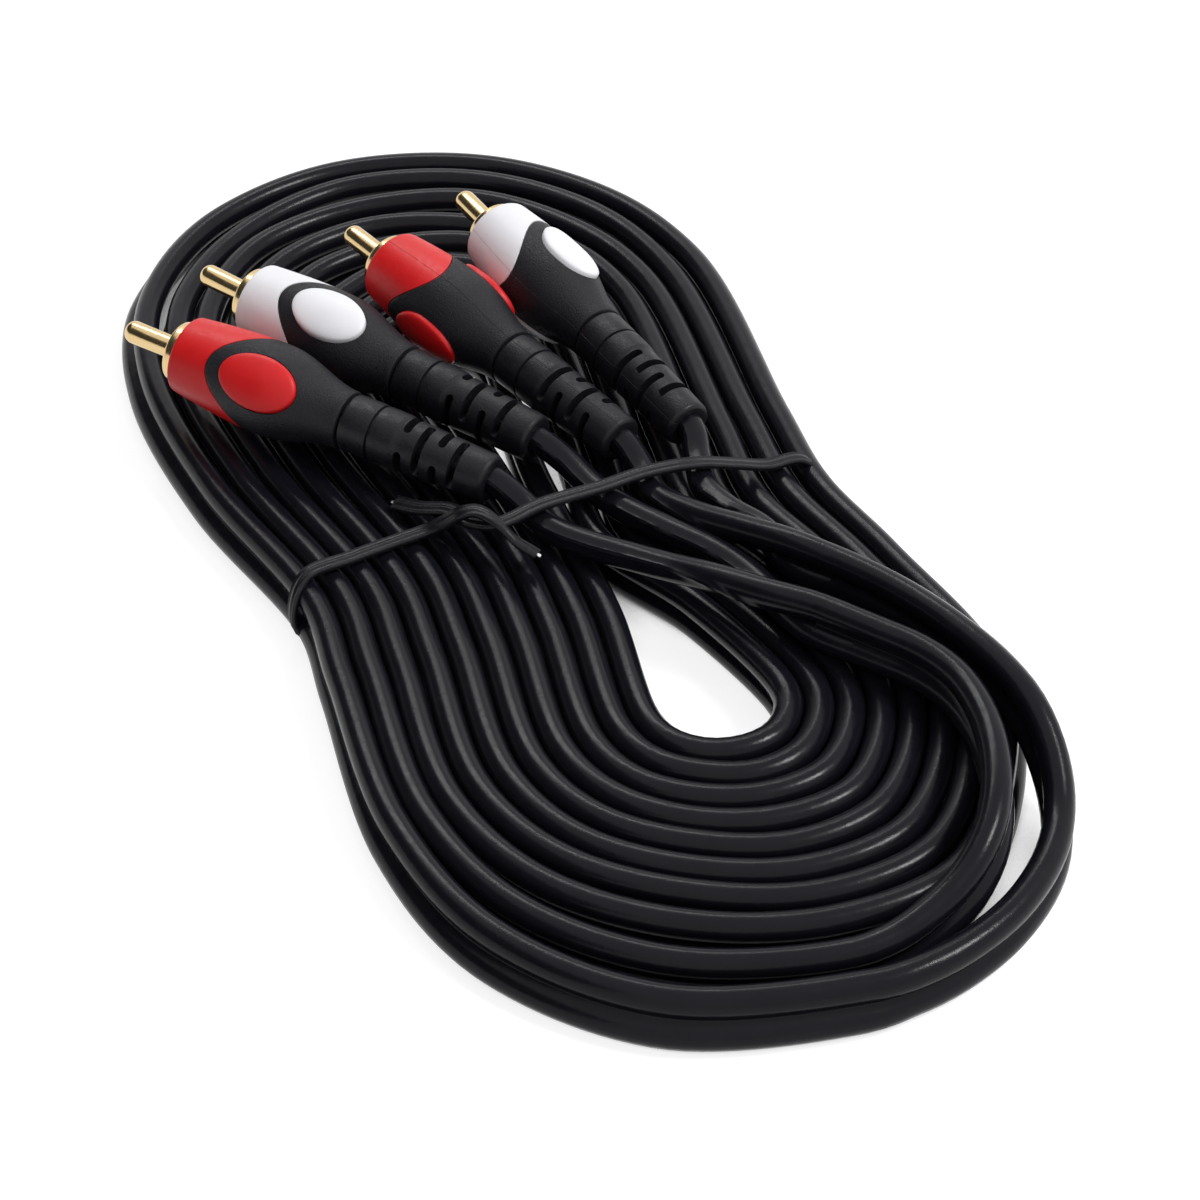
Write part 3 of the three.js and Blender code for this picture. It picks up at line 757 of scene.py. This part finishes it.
def pad_forms():
    """Two oval pads, each a low dome with a rounded rim and a skirt that goes down into the body."""
    vertices, faces = [], []
    steps = [0, 0.2, 0.4, 0.58, 0.72, 0.82, 0.89, 0.94, 0.97, 0.99, 1, 1, 1]
    drops = [0, 0, 0, 0, 0, 0.01, 0.03, 0.07, 0.13, 0.21, 0.32, 0.6, 1.6]
    sides = 72
    angle = np.linspace(0, 2 * np.pi, sides, endpoint=False)
    for facing in (1, -1):
        start = len(vertices)
        for share, drop in zip(steps, drops):
            x = PAD_WIDTH / 2 * share * np.cos(angle)
            along = PAD_LENGTH / 2 * share * np.sin(angle)
            surface = np.sqrt(np.maximum(body_radius(WIDEST - along) ** 2 - x**2, 1))
            height = WIDEST_RADIUS + (surface - WIDEST_RADIUS) * 0.86 + PAD_RISE - drop
            z = PLUG_LENGTH - WIDEST + along
            vertices += np.stack((facing * x, facing * height, z), 1).tolist()
        rings = len(steps)
        for ring in range(1, rings - 1):
            for side in range(sides):
                a, b = start + ring * sides + side, start + ring * sides + (side + 1) % sides
                faces.append((a, a + sides, b + sides, b))
        first = start + sides
        faces += [(start, first + side, first + (side + 1) % sides) for side in range(sides)]
        last = start + (rings - 1) * sides
        faces.append(tuple(range(last, last + sides)))
    return np.array(vertices), faces


def slot_cutters():
    """Round-ended slots through the strain relief: two a station, a quarter turn from the last station's."""
    vertices, faces = [], []
    inner, outer = CORE_RADIUS - 0.2, BOOT_FRONT_RADIUS + 1
    end = SLOT_WIDTH / 2 / BOOT_REAR_RADIUS  # angle that a slot's round end takes
    straight = math.radians(SLOT_SWEEP / 2) - end
    bend = np.radians(np.linspace(-86, 0, 7))
    middle_part = np.linspace(-straight, straight, 18)[1:-1]
    first_end, last_end = end * np.sin(bend) - straight, straight - end * np.sin(bend[::-1])
    around = np.concatenate((first_end, middle_part, last_end))
    swell = np.concatenate((np.cos(bend), np.ones(len(middle_part)), np.cos(bend[::-1])))
    half_width = SLOT_WIDTH / 2 * swell
    for station in range(SLOT_STATIONS):
        for middle in (0, math.pi):
            turn = around + middle + (station % 2) * math.pi / 2
            z = PLUG_LENGTH - (FIRST_SLOT + station * SLOT_PITCH)
            corners = ((inner, -1), (inner, 1), (outer, 1), (outer, -1))
            rings = [
                np.stack((radius * np.cos(turn), radius * np.sin(turn), z + side * half_width), 1)
                for radius, side in corners
            ]
            start = len(vertices)
            vertices += np.stack(rings, 1).reshape(-1, 3).tolist()
            faces += [tuple(start + k for k in face) for face in tube_faces(len(turn), len(corners))]
    return np.array(vertices), faces


def boot_form():
    """The strain relief with its collar, before its slots are cut."""
    bore = CORE_RADIUS + 0.12
    rear = PLUG_LENGTH
    lip = 0.7  # rounding of the rear edge
    profile = [(bore, rear), (BOOT_REAR_RADIUS - lip, rear)]
    for angle in (15, 35, 55, 75, 90):
        turn = math.radians(angle)
        radius = BOOT_REAR_RADIUS - lip + lip * math.sin(turn)
        profile.append((radius, rear - lip + lip * math.cos(turn)))
    collar_rear = COLLAR_FRONT + COLLAR_LENGTH
    for share in np.linspace(0.1, 1, 14):
        place = rear - lip + (collar_rear + 0.3 - rear + lip) * share
        profile.append((BOOT_REAR_RADIUS + (BOOT_FRONT_RADIUS - BOOT_REAR_RADIUS) * share, place))
    profile += [(COLLAR_RADIUS - 0.03, collar_rear), (COLLAR_RADIUS, collar_rear - 0.4)]
    profile += [(COLLAR_RADIUS, GROOVE_PLACE + 1.6), (COLLAR_RADIUS, GROOVE_PLACE + 0.5)]
    profile += [(COLLAR_RADIUS - 0.05, GROOVE_PLACE + 0.22), (COLLAR_RADIUS - 0.35, GROOVE_PLACE + 0.1)]
    profile += [(COLLAR_RADIUS - 0.35, GROOVE_PLACE - 0.1), (COLLAR_RADIUS - 0.02, GROOVE_PLACE - 0.2)]
    profile += [(COLLAR_RADIUS + 0.02, GROOVE_PLACE - 0.5), (COLLAR_RADIUS + 0.02, GROOVE_PLACE - 2)]
    profile += [(COLLAR_RADIUS, COLLAR_FRONT + 0.5), (COLLAR_RADIUS - 0.06, COLLAR_FRONT + 0.15)]
    profile += [(COLLAR_RADIUS - 0.2, COLLAR_FRONT), (bore, COLLAR_FRONT)]
    profile += [(bore, COLLAR_FRONT + (rear - COLLAR_FRONT) * share) for share in (0.3, 0.6)]
    return turned(profile, 96)


def pin_form():
    """Centre pin with a rounded tip, and its solder tail inside the body."""
    seat = SLEEVE_FRONT + SHELL_SEAT
    solder_radius, solder_length = 1.2, 5
    tip_radius, tip_length = 1.05, 1.25
    profile = [(solder_radius, seat + solder_length), (solder_radius, seat)]
    profile += [(PIN_RADIUS, seat), (PIN_RADIUS, 4), (PIN_RADIUS, tip_length)]
    for angle in np.linspace(15, 90, 7):
        turn = math.radians(angle)
        radius = PIN_RADIUS - tip_radius * (1 - math.cos(turn))
        profile.append((radius, tip_length * (1 - math.sin(turn))))
    return solid_turned(profile)


def shell_form():
    """The ground shell: a cup with a rolled front edge, before its two slots are cut."""
    seat = SLEEVE_FRONT + SHELL_SEAT
    inside = SHELL_RADIUS - SHELL_WALL
    profile = [(PIN_RADIUS + 0.3, seat), (SHELL_RADIUS, seat), (SHELL_RADIUS, SLEEVE_FRONT + 1)]
    profile += [(SHELL_RADIUS, PIN_SHOW + 0.4), (SHELL_RADIUS - 0.06, PIN_SHOW + 0.18)]
    profile += [(SHELL_RADIUS - 0.2, PIN_SHOW + 0.03), (SHELL_RADIUS - 0.35, PIN_SHOW)]
    profile += [(inside + 0.1, PIN_SHOW), (inside, PIN_SHOW + 0.15)]
    profile += [(inside, seat - SHELL_WALL), (PIN_RADIUS + 0.3, seat - SHELL_WALL)]
    return turned(profile, 96)


def shell_slot():
    """A bar across the shell's mouth, which leaves a slot on each side."""
    half, front = SHELL_SLOT_WIDTH / 2, PLUG_LENGTH - PIN_SHOW + 1
    rear = PLUG_LENGTH - PIN_SHOW - SHELL_SLOT_LENGTH
    reach = 2 * SHELL_RADIUS
    corners = [(reach, half, front), (reach, -half, front), (reach, -half, rear), (reach, half, rear)]
    corners += [(-x, y, z) for x, y, z in corners]
    return np.array(corners), tube_faces(2, 4)


grip_mesh = cut(*grip_form(), *oval_post(0.12))
boot_mesh = cut(*boot_form(), *slot_cutters())
shell_mesh = cut(*shell_form(), *shell_slot())

for number, (spec, place) in enumerate(zip(PLUGS, plug_places), 1):
    colour = COLOURS[spec[5]]
    slot = spec[5] + "_plastic"
    name = f"plug_{number}"
    pin = new_piece(f"{name}_pin", *pin_form(), GOLD, "contact_gold", place)
    shell = piece_of(f"{name}_shell", shell_mesh.copy(), GOLD, place)
    sleeve = new_piece(f"{name}_sleeve", *sleeve_form(), colour, slot, place)
    pads = new_piece(f"{name}_pads", *pad_forms(), colour, slot, place)
    grip = piece_of(f"{name}_overmould", grip_mesh.copy(), GRIP, place)
    boot = piece_of(f"{name}_boot", boot_mesh.copy(), BOOT, place)
    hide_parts(f"{name}_centre_pin")
    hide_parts(f"{name}_ground_shell")
    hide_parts(f"{name}_colour_body")
    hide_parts(f"{name}_grip")
    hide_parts(f"{name}_strain_relief")
    tail, line = tails[number - 1]


# Tie

def tie_section():
    """A flat ribbon with raised edges and a rib over the wire."""
    half, thick = TIE_WIDTH / 2, TIE_THICKNESS / 2
    top = [(1, 0.1), (0.97, 0.62), (0.86, 0.86), (0.72, 0.72), (0.5, 0.58), (0.3, 0.66), (0.16, 0.94), (0, 1)]
    top += [(-u, v) for u, v in reversed(top[:-1])]
    bottom = [(-u, -v) for u, v in top]
    return np.array([(half * u, thick * v) for u, v in top + bottom])


tie_line, _ = smooth_line([(x, y, LEAD_HEIGHT + z) for x, y, z in TIE_ROUTE], TIE_STEP)
tie_forward = tangents(tie_line)
tie_width = unit(np.array((0, 1, 0)) - tie_forward * tie_forward[:, 1:2])
tie_up = np.cross(tie_forward, tie_width)
tie_form = swept(tie_line, tie_width, tie_up, tie_section())
tie = new_piece("tie_ribbon", *tie_form, TIE, "tie_plastic", crease=50)
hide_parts("tie_strip")

wire_ends = (tie_line[0] - TIE_WIRE_SHOW * tie_forward[0], tie_line[-1] + TIE_WIRE_SHOW * tie_forward[-1])
wire_line = np.vstack((wire_ends[0], tie_line, wire_ends[1]))
wire_axes = [np.vstack((axes[:1], axes, axes[-1:])) for axes in (tie_width, tie_up)]
round_wire = np.array([on_circle((0, 0), TIE_WIRE_RADIUS, a) for a in range(0, 360, 30)])
wire = new_piece("tie_steel_wire", *swept(wire_line, *wire_axes, round_wire), STEEL, "tie_steel", crease=50)
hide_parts("tie_wire")


# CAD pieces that stay as they are

def repaint(node_name, finish):
    """Gives a CAD piece that shows its detailed material."""
    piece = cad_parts[node_name]
    piece.data.materials.clear()
    piece.data.materials.append(finish)


insulator = insulator_material()
wire_coat = wire_material()
for number in range(1, len(PLUGS) + 1):
    repaint(f"plug_{number}_insulator", insulator)
    repaint(f"plug_{number}_signal_wire", wire_coat)


# Floor, world and light

def seen_rays(made):
    """1 for the rays of the camera, reflections and transmission, and 0 for those that light things."""
    path = node(made, "ShaderNodeLightPath").outputs
    inputs = {0: path["Is Glossy Ray"], 1: path["Is Transmission Ray"]}
    bounced = node(made, "ShaderNodeMath", inputs, operation="MAXIMUM").outputs[0]
    inputs = {0: path["Is Camera Ray"], 1: bounced}
    return node(made, "ShaderNodeMath", inputs, operation="MAXIMUM").outputs[0]


FLOOR_REACH = 3.0
FLOOR_GREY = 0.3
FLOOR_GLOW = 0.82
SIGHT_REACH = 10 * MM  # how far the floor looks for something over it
SHUT_IN, IN_THE_OPEN = 0.07, 0.2  # share of clear sight at which its glow is off, and full; in between, the glow fades as painted shade
SKY_LIGHT = 0.72  # on the object; the camera and reflections see 1


def floor_material():
    """A pale floor that keeps the object's shadow.

    Most of its white is its own light, for the camera and reflections alone. That glow fades where
    something close shuts the floor in, as painted shade, so that the slits between strands stay dark.
    """
    made = bpy.data.materials.new("floor")
    made.use_nodes = True
    made.node_tree.nodes.clear()
    diffuse = node(made, "ShaderNodeBsdfDiffuse", {"Color": (FLOOR_GREY, FLOOR_GREY, FLOOR_GREY, 1)})
    # Ambient occlusion fades the floor's glow where the bundle is close: painted shade
    sight = node(made, "ShaderNodeAmbientOcclusion", {"Distance": SIGHT_REACH}, samples=8)
    glow_after_painted_shade = between(made, sight.outputs["AO"], SHUT_IN, IN_THE_OPEN, 0, FLOOR_GLOW)
    strength = node(made, "ShaderNodeMath", {0: seen_rays(made), 1: glow_after_painted_shade}, operation="MULTIPLY")
    glow = node(made, "ShaderNodeEmission", {"Color": (1, 1, 1, 1), "Strength": strength.outputs[0]})
    both = node(made, "ShaderNodeAddShader")
    made.node_tree.links.new(diffuse.outputs[0], both.inputs[0])
    made.node_tree.links.new(glow.outputs[0], both.inputs[1])
    output = node(made, "ShaderNodeOutputMaterial")
    made.node_tree.links.new(both.outputs[0], output.inputs["Surface"])
    return made


def stage_sheet(name, half_x, half_y, finish):
    """A flat rectangle of the stage, in metres, about its own origin."""
    mesh = bpy.data.meshes.new(name)
    corners = [(-half_x, -half_y, 0), (half_x, -half_y, 0), (half_x, half_y, 0), (-half_x, half_y, 0)]
    mesh.from_pydata(corners, [], [(0, 1, 2, 3)])
    mesh.materials.append(finish)
    sheet = bpy.data.objects.new(name, mesh)
    bpy.context.scene.collection.objects.link(sheet)
    return sheet


floor = stage_sheet("floor", FLOOR_REACH, FLOOR_REACH, floor_material())

# A dark card behind the bundle on the left: the camera doesn't see it, and glossy surfaces reflect it.
card_finish = bpy.data.materials.new("dark_card")
card_finish.use_nodes = True
card_shader = card_finish.node_tree.nodes["Principled BSDF"]
card_shader.inputs["Base Color"].default_value = (0.02, 0.02, 0.02, 1)
card = stage_sheet("dark_card", 0.7, 0.25, card_finish)
card.location = (-0.5, 0.2, 0.36)
card.rotation_euler = (-card.location).to_track_quat("Z", "Y").to_euler()
card.visible_camera = False

world = bpy.data.worlds.new("studio")
world.use_nodes = True
bpy.context.scene.world = world
background = world.node_tree.nodes["Background"]
background.inputs["Color"].default_value = (1, 1, 1, 1)
level = between(world, seen_rays(world), 0, 1, SKY_LIGHT, 1)
world.node_tree.links.new(level, background.inputs["Strength"])


def area_light(name, place, target, size, power):
    lamp = bpy.data.lights.new(name, "AREA")
    lamp.shape = "RECTANGLE"
    lamp.size, lamp.size_y = size
    lamp.energy = power
    light = bpy.data.objects.new(name, lamp)
    light.location = place
    light.rotation_euler = (Vector(target) - Vector(place)).to_track_quat("-Z", "Y").to_euler()
    bpy.context.scene.collection.objects.link(light)


area_light("key_light", (0.56, -0.30, 0.78), (0, -0.02, 0), (0.22, 0.22), 4.8)
area_light("back_light", (0.10, 0.62, 0.72), (0, 0, 0), (0.5, 0.12), 1.8)

bpy.context.scene.view_settings.view_transform = "Standard"
